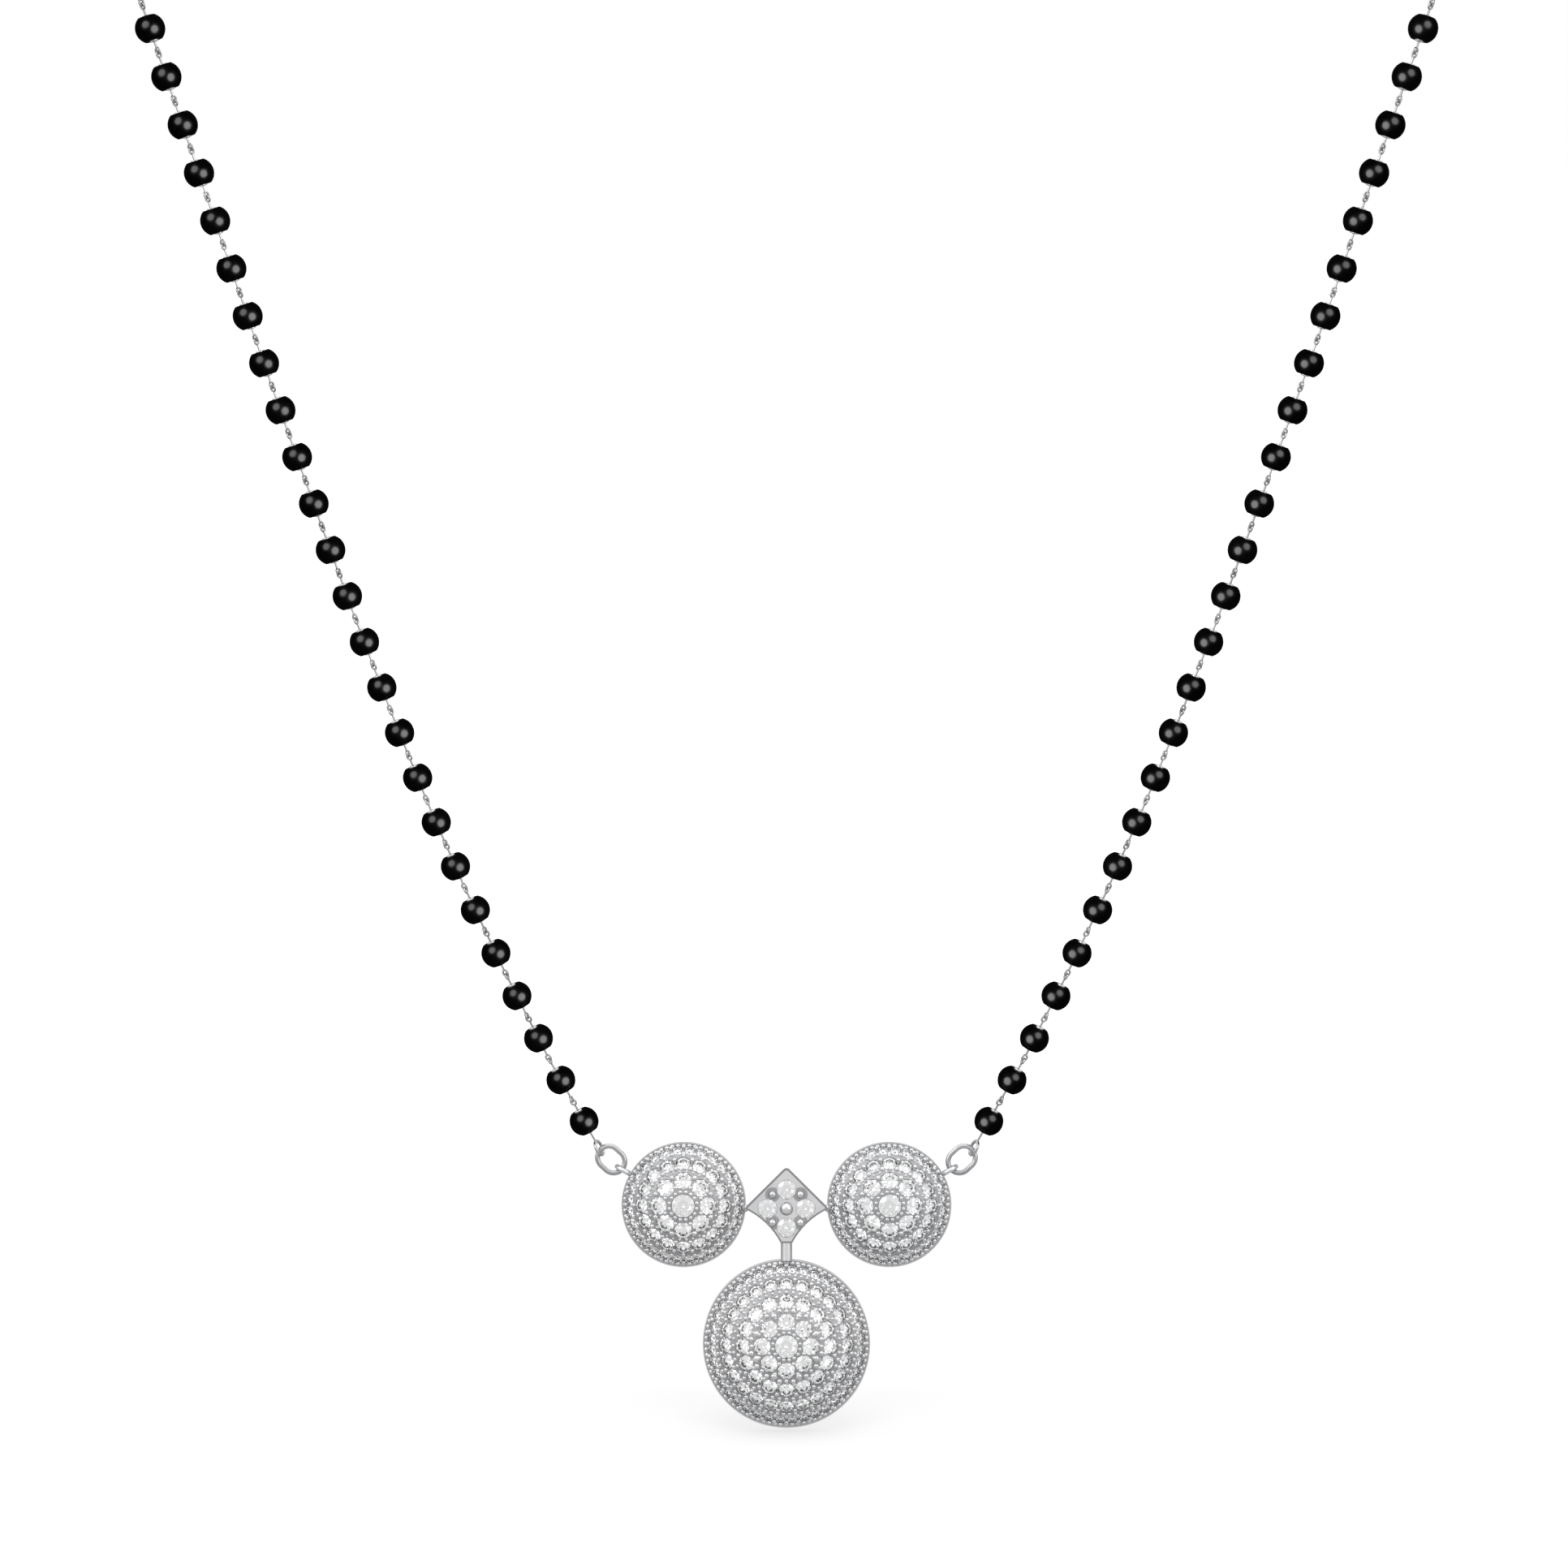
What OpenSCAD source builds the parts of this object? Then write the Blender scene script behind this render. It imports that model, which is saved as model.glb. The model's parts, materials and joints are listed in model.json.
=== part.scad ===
// Mangalsutra: a V of round black beads on fine wire, with a soldered pendant of three domed pave discs
// and a four-stone rhombus. It keeps the form that it has when worn. Millimetres, +Z up, +Y towards the back.
// The origin is the middle of the clasp at the nape. Left and right are as seen from the front.

/* [Discs] */
// Outer radius of each side disc
side_disc_r = 4.25; // [3.9:0.05:4.7]
// Outer radius of the drop disc
drop_disc_r = 5.7; // [5.2:0.05:6.3]
// Slope of each dome where it meets its rim, in degrees
dome_slope = 50; // [42:1:54]
// Thickness of the domed metal
shell_t = 0.85; // [0.75:0.05:1]
// Width of the plain rim round each dome
rim_w = 0.2; // [0.1:0.02:0.3]
// Height of the rim above the foot of the dome
rim_up = 0.1; // [0.04:0.02:0.2]
// Depth of the edge band behind the foot of the dome
edge_h = 0.6; // [0.5:0.05:0.9]
// Height of the side discs' centres above the rhombus's centre
side_disc_up = 0.25; // [0:0.05:0.4]

/* [Stones] */
// Diameter of the stone at the centre of each disc
centre_stone_d = 1.55; // [1.3:0.05:1.6]
// Diameter of the four stones in the rhombus
rhombus_stone_d = 1.3; // [1.1:0.05:1.35]
// Metal left between neighbouring stones of one ring
stone_space = 0.1; // [0.1:0.01:0.25]
// Gap between a stone and its seat
stone_clear = 0.02; // [0.02:0.01:0.04]
// Depth of a stone's girdle below the metal
set_depth = 0.06; // [0.04:0.01:0.14]

/* [Rhombus and post] */
// Distance from the rhombus's centre to each side tip
rhombus_half_w = 2.75; // [2.65:0.05:3]
// Distance from the rhombus's centre to its top
rhombus_up = 2.72; // [2.6:0.02:3]
// Distance from the rhombus's centre down to the post
rhombus_drop = 2.33; // [2.25:0.01:2.6]
// Thickness of the rhombus
rhombus_t = 0.95; // [0.9:0.05:1.2]
// Radius of the concave lower sides
rhombus_side_r = 5.2; // [5:0.1:8]
// Radius of the rounded top
rhombus_top_r = 0.3; // [0.2:0.02:0.4]
// Width of the raised border along the rhombus's edge
rhombus_border_w = 0.12; // [0.08:0.01:0.14]
// Height of that border above the face between the stones
rhombus_border_up = 0.1; // [0.06:0.01:0.14]
// Distance from the rhombus's centre to each of its stones
rhombus_stone_out = 1.29; // [1.25:0.01:1.36]
// Diameter of the post
post_d = 0.78; // [0.6:0.02:0.9]
// Length of post that shows between the rhombus and the drop disc
post_len = 1.13; // [0.9:0.01:1.8]
// Diameter of the ball where each side tip is soldered to its disc
ball_d = 0.56; // [0.4:0.02:0.6]

/* [Loops and rings] */
// Mean radius of the loop soldered to each side disc
loop_r = 0.55; // [0.5:0.01:0.65]
// Wire of that loop
loop_wire_d = 0.32; // [0.26:0.02:0.36]
// Angle of the loop round its disc, up from the horizontal, in degrees
loop_angle = 29.5; // [24:0.5:36]
// Mean radius of the rounded ends of a jump ring
jump_end_r = 0.77; // [0.7:0.01:0.9]
// Straight stretch of a jump ring
jump_straight = 0.44; // [0.2:0.02:0.8]
// Wire of a jump ring
jump_wire_d = 0.36; // [0.3:0.02:0.38]
// Angle of a jump ring's long axis, up from the horizontal, in degrees
jump_angle = 42; // [34:1:50]
// Mean radius of the eye at each end of a strand
eye_r = 0.5; // [0.45:0.01:0.6]
// Wire of that eye
eye_wire_d = 0.24; // [0.2:0.02:0.28]
// Gap left where one ring hangs in another
ring_gap = 0.05; // [0.03:0.01:0.06]

/* [Strands] */
// Diameter of a bead
bead_d = 2; // [1.7:0.05:2.2]
// Length of a bead between its flat ends
bead_len = 1.62; // [1.55:0.01:1.65]
// Diameter of the hole through a bead
bead_bore_d = 0.62; // [0.56:0.02:0.8]
// Outer diameter of the linked wire that runs through the beads
link_wire_d = 0.38; // [0.3:0.02:0.42]
// Least space between neighbouring beads, measured between their full rounds
bead_space = 1.22; // [1:0.01:1.8]

/* [Worn shape] */
// Distance from the nape forward to the rhombus
front_depth = 88; // [86:0.5:90]
// Distance from the nape down to the rhombus's centre
front_drop = 120; // [116:0.5:124]
// Lean of the pendant back from upright, in degrees
lean = 12; // [8:0.5:16]

/* [Clasp] */
// Length of the clasp's barrel
clasp_len = 7; // [6:0.5:8]
// Diameter of the clasp's barrel
clasp_d = 3; // [2.4:0.1:3.6]
// Mean radius of the clasp's two end loops
clasp_loop_r = 0.62; // [0.56:0.02:0.75]
// Wire of those loops
clasp_wire_d = 0.4; // [0.36:0.02:0.42]

/* [Hidden] */
$fn = 48;

// Rings of stones on each dome, from the centre out: share of the disc's radius, number of stones, and the
// turn of the first stone from the top as a share of the step between two. The outermost ring of each disc
// has its seats here, and its stones, the smallest, aren't solids.
SIDE_RINGS = [[0.4, 8, 0], [0.67, 16, 0], [0.878, 28, 0.5]];
DROP_RINGS = [[0.29, 8, 0], [0.525, 16, 0], [0.73, 24, 0], [0.895, 40, 0.5]];

// Cut of a stone, as shares of its diameter
TABLE_SHARE = 0.56;
CROWN_SHARE = 0.16;
GIRDLE_SHARE = 0.03;
PAVILION_SHARE = 0.43;
// Radius of the open hole behind a stone, as a share of its diameter
BACK_HOLE_SHARE = 0.22;
// Sides of the girdle of a main stone and of a small one
MAIN_SIDES = 16;
SMALL_SIDES = 8;

// Depth that one soldered piece reaches into the next
SOLDER = 0.12;
// Length that a cutting tool runs past what it cuts
OVER = 1;

// Drop of a stone's pavilion for each step inwards from its girdle
PAVILION_STEEPNESS = 2 * PAVILION_SHARE;

// Small balls of the rhombus: the middle one, and the four between its stones
MIDDLE_BALL_R = 0.47;
PRONG_BALL_R = 0.24;
// Distance of those four from the rhombus's centre, sideways and up or down
PRONG_OUT = 0.95;

// Colours
SILVER = [0.82, 0.83, 0.85];
CLEAR_STONE = [0.93, 0.95, 0.98];
BLACK = [0.02, 0.02, 0.02];

// Places in the pendant's own plane: right, up, front
SIDE_DISC_AT = [rhombus_half_w + side_disc_r, side_disc_up, 0];
DROP_DISC_AT = [0, -(rhombus_drop + post_len + drop_disc_r), 0];
RHOMBUS_FRONT = rhombus_t / 2;
LOOP_DIRECTION = [cos(loop_angle), sin(loop_angle), 0];
JUMP_DIRECTION = [cos(jump_angle), sin(jump_angle), 0];
// The loop stands behind the dome, at the middle of the disc's edge band, and its wire is sunk into that band
LOOP_DEPTH = -edge_h / 2;
LOOP_SINK = loop_wire_d / 3;
LOOP_OUT = side_disc_r + loop_r - LOOP_SINK;
LOOP_AT = SIDE_DISC_AT + LOOP_DIRECTION * LOOP_OUT + [0, 0, LOOP_DEPTH];
// The jump ring's wire hangs against the outer side of the loop, a small gap clear of it
JUMP_HALF = jump_end_r + jump_straight / 2;
JUMP_PULL = loop_r - loop_wire_d / 2 - jump_wire_d / 2 - ring_gap;
JUMP_AT = LOOP_AT + LOOP_DIRECTION * JUMP_PULL + JUMP_DIRECTION * JUMP_HALF;
JUMP_FAR_END = JUMP_AT + JUMP_DIRECTION * JUMP_HALF;

// The rhombus's centre, and a point of the pendant's plane, in the worn frame
PENDANT_AT = [0, -front_depth, -front_drop];
function worn(p) = PENDANT_AT
    + [p.x, p.y * sin(lean) - p.z * cos(lean), p.y * cos(lean) + p.z * sin(lean)];

// Middle of the wire of the clasp's right loop, where the strand's last eye hangs
CLASP_LOOP_AT = [clasp_len / 2 + clasp_loop_r - SOLDER, 0, 0];
CLASP_HOLD = CLASP_LOOP_AT + [clasp_loop_r, 0, 0];

// Route of the right strand, chosen by hand. The front points are right and up from the rhombus's centre,
// in an upright plane. The back points go round the neck and are measured from the nape.
STRAND_FRONT = [[16.9, 11.7], [22.4, 23.6], [27.2, 35.9], [31.5, 48.2], [35.6, 60.5], [39.6, 73]];
STRAND_BACK = [
    [43.5, -86.2, -35], [47.2, -81.5, -24], [50, -72.5, -16], [51.3, -60, -11], [50.5, -46.3, -7.5],
    [46.5, -31.7, -4.8], [38.4, -18.6, -2.5], [27.2, -8.5, -1], [15.5, -2.2, -0.2]
];
STRAND_START = worn(JUMP_FAR_END);
ROUTE = concat(
    [STRAND_START],
    [for (p = STRAND_FRONT) [p.x, STRAND_START.y, p.y - front_drop]],
    STRAND_BACK,
    [CLASP_HOLD]
);

// A smooth curve through the route's points, cut into short chords
CHORDS = 12;
LAST = len(ROUTE) - 1;
function route_point(i) = i < 0 ? 2 * ROUTE[0] - ROUTE[1]
    : i > LAST ? 2 * ROUTE[LAST] - ROUTE[LAST - 1]
    : ROUTE[i];
function blend(a, b, c, d, t) = 0.5 * (
    2 * b + (c - a) * t + (2 * a - 5 * b + 4 * c - d) * t * t + (3 * b - a - 3 * c + d) * t * t * t
);
CURVE = [
    for (i = [0 : LAST - 1], k = [0 : CHORDS - 1])
        blend(route_point(i - 1), route_point(i), route_point(i + 1), route_point(i + 2), k / CHORDS),
    ROUTE[LAST]
];
// Length of each chord, and the distance along the curve to each of its points
CHORD_LENS = [for (i = [1 : len(CURVE) - 1]) norm(CURVE[i] - CURVE[i - 1])];
ALONG = [
    for (i = 0, s = 0; i <= len(CHORD_LENS); s = s + (i < len(CHORD_LENS) ? CHORD_LENS[i] : 0), i = i + 1)
        s
];
CURVE_LEN = ALONG[len(ALONG) - 1];
function curve_at(s) =
    let (i = min(len(CURVE) - 2, max(0, len([for (a = ALONG) if (a <= s) a]) - 1)))
    let (t = (s - ALONG[i]) / (ALONG[i + 1] - ALONG[i]))
    CURVE[i] * (1 - t) + CURVE[i + 1] * t;

// Each strand is straight along every pair of beads, and bends in the gap between two pairs
START_EYE_LEN = 2 * eye_r - eye_wire_d / 2 - jump_wire_d / 2 - ring_gap;
END_EYE_LEN = 2 * eye_r - eye_wire_d / 2 - clasp_wire_d / 2 - ring_gap;
STRING_LEN = CURVE_LEN - START_EYE_LEN - END_EYE_LEN;
PAIRS = floor(STRING_LEN / (2 * (bead_d + bead_space)));
PAIR_LEN = STRING_LEN / PAIRS;
BENDS = [for (k = [0 : PAIRS]) curve_at(START_EYE_LEN + k * PAIR_LEN)];
function unit(v) = v / norm(v);
function pair_direction(k) = unit(BENDS[k + 1] - BENDS[k]);

// Every node: a whole ring of stones, a whole strand of beads and a whole strand's wire are one node each

// Lays what is drawn in the pendant's plane into the worn frame
module on_pendant() {
    translate(PENDANT_AT)
        rotate([90 - lean, 0, 0])
            children();
}

module mirrored_if(left) {
    mirror([left ? 1 : 0, 0, 0])
        children();
}

// Turns the Z axis to a direction
module along(direction) {
    rotate([0, acos(direction.z / norm(direction)), atan2(direction.y, direction.x)])
        children();
}

module wire_ring(mean_r, wire_d) {
    rotate_extrude()
        translate([mean_r, 0])
            circle(d = wire_d);
}

// Radius of the sphere that a dome is cut from, and the depth of its centre behind the foot of the dome
function dome_r(disc_r) = (disc_r - rim_w) / sin(dome_slope);
function dome_sink(disc_r) = dome_r(disc_r) * cos(dome_slope);
// Diameter of the stones in one ring: what is left of their spacing
function ring_stone_d(disc_r, ring) = 2 * disc_r * ring[0] * sin(180 / ring[1]) - stone_space;

// Puts its child on a dome at each place of a ring, with Z pointing out and zero at the stones' girdles
module ring_places(disc_r, ring) {
    tilt = asin(disc_r * ring[0] / dome_r(disc_r));
    for (i = [0 : ring[1] - 1])
        translate([0, 0, -dome_sink(disc_r)])
            rotate([0, tilt, 90 + (i + ring[2]) * 360 / ring[1]])
                translate([0, 0, dome_r(disc_r) - set_depth])
                    children();
}

module dome_top(disc_r) {
    translate([0, 0, dome_r(disc_r) - dome_sink(disc_r) - set_depth])
        children();
}

// The pocket that a stone drops into: straight down to the girdle, then a cone, then an open hole to the back
module seat(stone_d) {
    wall_r = stone_d / 2 + stone_clear;
    hole_r = stone_d * BACK_HOLE_SHARE;
    ledge = -stone_d * GIRDLE_SHARE / 2 - stone_clear;
    cone_foot = ledge - (wall_r - hole_r) * PAVILION_STEEPNESS;
    rotate_extrude()
        polygon([
            [0, -shell_t - rhombus_t - OVER], [hole_r, -shell_t - rhombus_t - OVER], [hole_r, cone_foot],
            [wall_r, ledge], [wall_r, OVER], [0, OVER]
        ]);
}

function ring_points(sides, r, z) = [
    for (i = [0 : sides - 1])
        [r * cos(i * 360 / sides), r * sin(i * 360 / sides), z]
];

// A round cut stone: a flat eight-sided table, crown facets, a thin girdle and a pointed pavilion
module cut_stone(stone_d, sides) {
    table = 8;
    per = sides / table;
    middle = floor(per / 2);
    half_girdle = stone_d * GIRDLE_SHARE / 2;
    points = concat(
        ring_points(table, stone_d * TABLE_SHARE / 2, stone_d * CROWN_SHARE),
        ring_points(sides, stone_d / 2, half_girdle),
        ring_points(sides, stone_d / 2, -half_girdle),
        [[0, 0, -stone_d * PAVILION_SHARE]]
    );
    top = table;
    bottom = table + sides;
    culet = table + 2 * sides;
    faces = concat(
        [[for (i = [table - 1 : -1 : 0]) i]],
        [for (i = [0 : table - 1]) each concat(
            [for (k = [0 : 1 : middle - 1]) [i, top + i * per + k + 1, top + i * per + k]],
            [[i, (i + 1) % table, top + i * per + middle]],
            [for (k = [middle : per - 1])
                [(i + 1) % table, top + (i * per + k + 1) % sides, top + i * per + k]]
        )],
        [for (i = [0 : sides - 1]) [top + i, top + (i + 1) % sides, bottom + (i + 1) % sides, bottom + i]],
        [for (i = [0 : sides - 1]) [bottom + i, bottom + (i + 1) % sides, culet]]
    );
    color(CLEAR_STONE)
        polyhedron(points, faces);
}

// A domed disc, hollow behind, with a plain edge band and a seat for each stone
module domed_disc(disc_r, rings) {
    difference() {
        union() {
            intersection() {
                translate([0, 0, -dome_sink(disc_r)])
                    sphere(r = dome_r(disc_r));
                translate([-disc_r, -disc_r, 0])
                    cube([2 * disc_r, 2 * disc_r, disc_r]);
            }
            translate([0, 0, -edge_h])
                cylinder(r = disc_r, h = edge_h + rim_up);
        }
        translate([0, 0, -dome_sink(disc_r)])
            sphere(r = dome_r(disc_r) - shell_t);
        dome_top(disc_r)
            seat(centre_stone_d);
        for (ring = rings)
            ring_places(disc_r, ring)
                seat(ring_stone_d(disc_r, ring));
    }
}

// Outline of the rhombus: straight upper sides that meet in a rounded top, and concave lower sides. With an
// inset it is the line that runs that far inside.
module rhombus_outline(inset = 0) {
    tip = [rhombus_half_w + SOLDER, 0];
    neck = [post_d / 2, -rhombus_drop];
    top_middle = [0, rhombus_up - rhombus_top_r];
    upper_slope = 180 - atan2(top_middle.y, tip.x) - asin(rhombus_top_r / norm(tip - top_middle));
    outwards = [cos(upper_slope - 90), sin(upper_slope - 90)];
    touch = top_middle + (rhombus_top_r - inset) * outwards;
    corner = [tip.x - inset / outwards.x, 0];
    foot = [neck.x, neck.y + inset];
    side = neck - tip;
    reach = sqrt(rhombus_side_r * rhombus_side_r - side * side / 4);
    side_middle = (tip + neck) / 2 + reach * [-side.y, side.x] / norm(side);
    difference() {
        union() {
            polygon([corner, touch, [-touch.x, touch.y], -corner, [-foot.x, foot.y], foot]);
            translate(top_middle)
                circle(r = rhombus_top_r - inset);
        }
        for (flip = [1, -1])
            translate([flip * side_middle.x, side_middle.y])
                circle(r = rhombus_side_r + inset, $fn = 96);
    }
}

// Puts its child at one of the rhombus's four stones, at a turn from the right-hand one
module rhombus_place(turn) {
    translate([rhombus_stone_out * cos(turn), rhombus_stone_out * sin(turn), RHOMBUS_FRONT - set_depth])
        children();
}

module rhombus() {
    difference() {
        translate([0, 0, -rhombus_t / 2])
            linear_extrude(rhombus_t + rhombus_border_up)
                rhombus_outline();
        translate([0, 0, RHOMBUS_FRONT])
            linear_extrude(rhombus_border_up + OVER)
                rhombus_outline(rhombus_border_w);
        for (turn = [0 : 90 : 270])
            rhombus_place(turn)
                seat(rhombus_stone_d);
    }
    translate([0, 0, RHOMBUS_FRONT])
        sphere(r = MIDDLE_BALL_R);
    for (right = [-PRONG_OUT, PRONG_OUT], up = [-PRONG_OUT, PRONG_OUT])
        translate([right, up, RHOMBUS_FRONT])
            sphere(r = PRONG_BALL_R);
}

// The soldered metalwork of the pendant, one solid
module pendant_frame() {
    color(SILVER)
        on_pendant() {
            rhombus();
            translate([0, -rhombus_drop - post_len - SOLDER, 0])
                rotate([-90, 0, 0])
                    cylinder(d = post_d, h = post_len + 2 * SOLDER);
            translate(DROP_DISC_AT)
                domed_disc(drop_disc_r, DROP_RINGS);
            for (left = [false, true])
                mirrored_if(left) {
                    translate(SIDE_DISC_AT)
                        domed_disc(side_disc_r, SIDE_RINGS);
                    translate([rhombus_half_w + SOLDER, 0, 0])
                        sphere(d = ball_d);
                    translate(LOOP_AT)
                        rotate([90, 0, loop_angle])
                            wire_ring(loop_r, loop_wire_d);
                }
        }
}

module disc_centre_stone(place, disc_r) {
    on_pendant()
        translate(place)
            dome_top(disc_r)
                cut_stone(centre_stone_d, MAIN_SIDES);
}

module disc_ring(place, disc_r, ring) {
    on_pendant()
        translate(place)
            ring_places(disc_r, ring)
                cut_stone(ring_stone_d(disc_r, ring), SMALL_SIDES);
}

module rhombus_stone(turn) {
    on_pendant()
        rhombus_place(turn)
            cut_stone(rhombus_stone_d, MAIN_SIDES);
}

// An oval ring: two half circles of wire joined by two straight stretches
module jump_ring(left) {
    color(SILVER)
        on_pendant()
            mirrored_if(left)
                translate(JUMP_AT)
                    rotate([0, 0, jump_angle])
                        for (end = [0, 180])
                            rotate([0, 0, end]) {
                                translate([jump_straight / 2, 0, 0])
                                    rotate([0, 0, -90])
                                        rotate_extrude(angle = 180)
                                            translate([jump_end_r, 0])
                                                circle(d = jump_wire_d);
                                translate([-jump_straight / 2, jump_end_r, 0])
                                    rotate([0, 90, 0])
                                        cylinder(d = jump_wire_d, h = jump_straight);
                            }
}

// A round bead with both ends ground flat, drilled through
module bead() {
    difference() {
        sphere(d = bead_d);
        cylinder(d = bead_bore_d, h = bead_d + OVER, center = true);
        for (end = [-1, 1])
            translate([0, 0, end * (bead_len + OVER) / 2])
                cylinder(d = bead_d, h = OVER, center = true);
    }
}

// One strand of beads: the two on each straight stretch of the wire stand a quarter of it from its ends
BEAD_SHARES = [0.25, 0.75];
module strand_beads(left) {
    color(BLACK)
        mirrored_if(left)
            for (k = [0 : PAIRS - 1], share = BEAD_SHARES)
                translate(BENDS[k] * (1 - share) + BENDS[k + 1] * share)
                    along(pair_direction(k))
                        bead();
}

// The linked wire through one strand is a plain tube of this many sides, with an eye at each end
WIRE_SIDES = 8;
function bend_direction(k) = k == 0 ? pair_direction(0)
    : k == PAIRS ? pair_direction(PAIRS - 1)
    : unit(pair_direction(k - 1) + pair_direction(k));
// Away from the middle of the neck, square to the wire
NECK_MIDDLE = [0, -front_depth / 2, 0];
function bend_out(k) =
    let (out = [BENDS[k].x, BENDS[k].y, 0] - NECK_MIDDLE, d = bend_direction(k))
    unit(out - d * (out * d));

// A point on the wire's surface at a bend, at a turn from its outer side
function wire_point(k, turn) =
    let (out = bend_out(k), across = cross(bend_direction(k), out))
    BENDS[k] + link_wire_d / 2 * (out * cos(turn) + across * sin(turn));

module link_wire(left) {
    points = [for (k = [0 : PAIRS], i = [0 : WIRE_SIDES - 1]) wire_point(k, i * 360 / WIRE_SIDES)];
    last = PAIRS * WIRE_SIDES;
    faces = concat(
        [[for (i = [0 : WIRE_SIDES - 1]) i]],
        [for (k = [0 : PAIRS - 1], i = [0 : WIRE_SIDES - 1])
            let (a = k * WIRE_SIDES + i, b = k * WIRE_SIDES + (i + 1) % WIRE_SIDES)
            [a + WIRE_SIDES, b + WIRE_SIDES, b, a]],
        [[for (i = [WIRE_SIDES - 1 : -1 : 0]) last + i]]
    );
    color(SILVER)
        mirrored_if(left) {
            polyhedron(points, faces);
            translate(BENDS[0] - eye_r * pair_direction(0))
                along(cross(pair_direction(0), [0, 1, 0]))
                    wire_ring(eye_r, eye_wire_d);
            translate(BENDS[PAIRS] + eye_r * pair_direction(PAIRS - 1))
                along(cross(pair_direction(PAIRS - 1), [0, 1, 0]))
                    wire_ring(eye_r, eye_wire_d);
        }
}

// A plain barrel with tapered ends, a seam round its middle and a loop at each end
CLASP_TAPER = 0.9;
CLASP_END_SHARE = 0.55;
SEAM_W = 0.2;
SEAM_DEPTH = 0.12;
module clasp() {
    straight = clasp_len - 2 * CLASP_TAPER;
    color(SILVER) {
        rotate([0, 90, 0])
            difference() {
                union() {
                    cylinder(d = clasp_d, h = straight, center = true);
                    for (end = [0, 180])
                        rotate([end, 0, 0])
                            translate([0, 0, straight / 2])
                                cylinder(d1 = clasp_d, d2 = clasp_d * CLASP_END_SHARE, h = CLASP_TAPER);
                }
                difference() {
                    cylinder(d = clasp_d + OVER, h = SEAM_W, center = true);
                    cylinder(d = clasp_d - 2 * SEAM_DEPTH, h = SEAM_W + OVER, center = true);
                }
            }
        for (left = [false, true])
            mirrored_if(left)
                translate(CLASP_LOOP_AT)
                    rotate([90, 0, 0])
                        wire_ring(clasp_loop_r, clasp_wire_d);
    }
}

LEFT_DISC_AT = [-SIDE_DISC_AT.x, SIDE_DISC_AT.y, SIDE_DISC_AT.z];

pendant_frame();
disc_centre_stone(LEFT_DISC_AT, side_disc_r);  // left_disc_centre_stone
disc_centre_stone(SIDE_DISC_AT, side_disc_r);  // right_disc_centre_stone
disc_centre_stone(DROP_DISC_AT, drop_disc_r);  // drop_disc_centre_stone
rhombus_stone(90);  // rhombus_stone_top
rhombus_stone(180);  // rhombus_stone_left
rhombus_stone(0);  // rhombus_stone_right
rhombus_stone(270);  // rhombus_stone_bottom
disc_ring(LEFT_DISC_AT, side_disc_r, SIDE_RINGS[0]);  // left_disc_ring_1
disc_ring(LEFT_DISC_AT, side_disc_r, SIDE_RINGS[1]);  // left_disc_ring_2
disc_ring(SIDE_DISC_AT, side_disc_r, SIDE_RINGS[0]);  // right_disc_ring_1
disc_ring(SIDE_DISC_AT, side_disc_r, SIDE_RINGS[1]);  // right_disc_ring_2
disc_ring(DROP_DISC_AT, drop_disc_r, DROP_RINGS[0]);  // drop_disc_ring_1
disc_ring(DROP_DISC_AT, drop_disc_r, DROP_RINGS[1]);  // drop_disc_ring_2
disc_ring(DROP_DISC_AT, drop_disc_r, DROP_RINGS[2]);  // drop_disc_ring_3
jump_ring(true);  // left_jump_ring
jump_ring(false);  // right_jump_ring
strand_beads(true);  // left_beads
strand_beads(false);  // right_beads
link_wire(true);  // left_link_wire
link_wire(false);  // right_link_wire
clasp();
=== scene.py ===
import json
from math import asin, cos, pi, radians, sin, sqrt, tan

import bmesh
import bpy
from mathutils import Matrix, Vector

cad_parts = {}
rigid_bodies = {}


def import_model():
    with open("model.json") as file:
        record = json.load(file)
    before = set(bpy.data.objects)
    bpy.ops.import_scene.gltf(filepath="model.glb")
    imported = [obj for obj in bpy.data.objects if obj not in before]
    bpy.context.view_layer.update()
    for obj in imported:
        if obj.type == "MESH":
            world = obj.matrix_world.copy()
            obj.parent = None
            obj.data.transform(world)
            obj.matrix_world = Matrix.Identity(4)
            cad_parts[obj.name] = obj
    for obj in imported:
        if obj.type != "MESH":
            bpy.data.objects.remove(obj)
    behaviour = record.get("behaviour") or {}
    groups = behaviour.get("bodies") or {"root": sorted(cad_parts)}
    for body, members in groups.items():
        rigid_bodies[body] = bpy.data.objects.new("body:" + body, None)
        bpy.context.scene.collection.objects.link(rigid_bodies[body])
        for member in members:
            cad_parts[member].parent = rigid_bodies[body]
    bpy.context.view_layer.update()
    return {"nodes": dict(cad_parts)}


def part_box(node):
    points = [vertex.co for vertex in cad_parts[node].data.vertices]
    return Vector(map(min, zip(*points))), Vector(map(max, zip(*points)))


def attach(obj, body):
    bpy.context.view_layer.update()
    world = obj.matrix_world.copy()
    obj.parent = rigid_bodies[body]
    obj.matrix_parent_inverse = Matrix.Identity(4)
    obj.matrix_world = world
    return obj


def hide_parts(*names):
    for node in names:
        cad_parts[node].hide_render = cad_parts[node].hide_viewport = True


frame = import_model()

MM = 0.001


# The metalwork is cast in silver in four parts, which are soldered into one piece: two side discs, the drop
# disc on its post, and the rhombus between them. It was drilled for its stones and then polished, so its own
# solid is right as it is and only takes its finish here. That finish is a lighter silver, which is painted
# light, with painted shade on the ground between the stones and on the flanks.
def deselect_all():
    for piece in bpy.context.selected_objects:
        piece.select_set(False)


# The tone changes in patches: a noise at this share of the swirls' scale, and so far wider than they are
PATCH_SCALE = 0.08


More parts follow.
